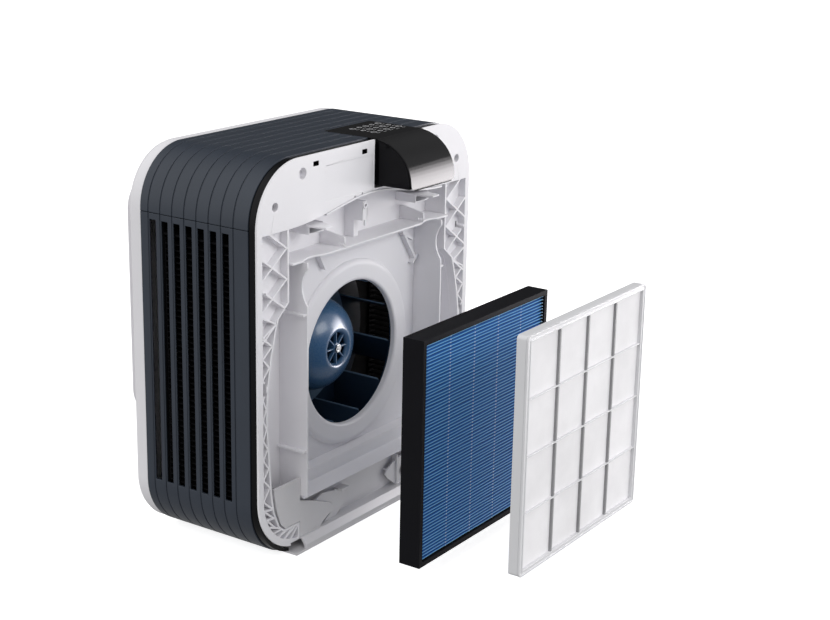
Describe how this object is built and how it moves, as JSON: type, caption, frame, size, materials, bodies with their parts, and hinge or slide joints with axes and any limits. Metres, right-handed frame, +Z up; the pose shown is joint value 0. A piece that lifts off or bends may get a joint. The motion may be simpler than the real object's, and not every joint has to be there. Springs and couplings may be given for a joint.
{
  "type": "air purifier",
  "caption": "Free-standing air purifier with its cover off: grooved wrap with side outlets, domed centrifugal fan behind a bell-mouth, curved display and two slide-in filters.",
  "frame": {"origin": "on the floor at the middle of the base's flat underside, midway between the front and rear edges of the grooved wrap", "axes": "+Z up; -Y towards the filter side with the display; +X to the right seen from that side"},
  "size_m": [0.424, 0.5035, 0.47],
  "materials": {
    "slate_plastic": "fine satin moulding, dark slate grey",
    "black_trim": "satin black",
    "white_plastic": "satin white moulding",
    "base_plastic": "satin off-white moulding",
    "rubber_pads": "matt black",
    "steel": "bright turned steel",
    "inner_plastic": "dull black moulding",
    "motor_casing": "cast, bead blasted",
    "copper_winding": "enamelled copper",
    "display_gloss": "high gloss black lens",
    "touch_gloss": "gloss black touch surface",
    "circuit_board": "solder resist green",
    "hub_blue": "semi-gloss steel blue",
    "blade_blue": "satin navy",
    "filter_frame": "dark charcoal frame, fine grain",
    "filter_media": "blue pleated non-woven",
    "filter_beads": "light blue glue bead",
    "prefilter_white": "satin white moulding",
    "prefilter_net": "fine white net"
  },
  "bodies": {
    "housing": {"wrap_top": "slate_plastic", "wrap_left": "slate_plastic", "wrap_right": "slate_plastic", "rim_band": "black_trim", "base_plate": "base_plastic", "base_pads": "rubber_pads", "front_frame": "white_plastic", "well_wall_left": "white_plastic", "well_wall_right": "white_plastic", "well_wall_top": "white_plastic", "frame_screws": "steel", "chassis_plate": "white_plastic", "tray_side_left": "white_plastic", "tray_side_right": "white_plastic", "tray_shelf": "white_plastic", "tray_ledge": "white_plastic", "front_apron": "base_plastic", "inlet_bellmouth": "white_plastic", "screw_post": "white_plastic", "latch_tongue_left": "white_plastic", "latch_tongue_right": "white_plastic", "interlock_switch": "inner_plastic", "display_housing": "black_trim", "display_window": "display_gloss", "display_board": "circuit_board", "touch_panel": "touch_gloss", "chamber_roof": "inner_plastic", "chamber_floor": "inner_plastic", "outlet_guard_left": "inner_plastic", "outlet_guard_right": "inner_plastic", "motor_plate": "inner_plastic", "motor_screws": "steel", "motor_can": "motor_casing", "motor_stator": "copper_winding", "front_bearing": "steel", "rear_bearing": "steel", "control_board": "circuit_board", "power_board": "circuit_board", "power_inlet": "inner_plastic", "dust_sensor": "inner_plastic", "rear_cover": "white_plastic", "rear_panel": "white_plastic"},
    "impeller": {"impeller_hub": "hub_blue", "hub_spokes": "hub_blue", "impeller_blades": "blade_blue", "impeller_backplate": "blade_blue", "impeller_shroud": "blade_blue", "hub_nut": "steel", "motor_shaft": "steel", "motor_rotor": "steel"},
    "interlock": {"interlock_plunger": "inner_plastic"},
    "fine_filter": {"hepa_frame": "filter_frame", "hepa_media": "filter_media", "hepa_beads": "filter_beads", "hepa_gasket": "rubber_pads"},
    "prefilter": {"prefilter_frame": "prefilter_white", "prefilter_grid": "prefilter_white", "prefilter_mesh": "prefilter_net"}
  },
  "joints": [
    {"name": "fan_spin", "type": "hinge", "parent": "housing", "child": "impeller", "pos_m": [0, 0, 0.2048], "axis": [0, 1, 0], "continuous": true},
    {"name": "interlock_press", "type": "slide", "parent": "housing", "child": "interlock", "axis": [0, 1, 0], "range_m": [0, 0.003], "stiffness_N_per_m": 250, "springref_m": -0.002},
    {"name": "fine_filter_slide", "type": "slide", "parent": "housing", "child": "fine_filter", "axis": [0, 0.9484, 0.317], "range_m": [0, 0.16153]},
    {"name": "prefilter_slide", "type": "slide", "parent": "fine_filter", "child": "prefilter", "axis": [0, 0.9718, -0.236], "range_m": [0, 0.11906]}
  ]
}
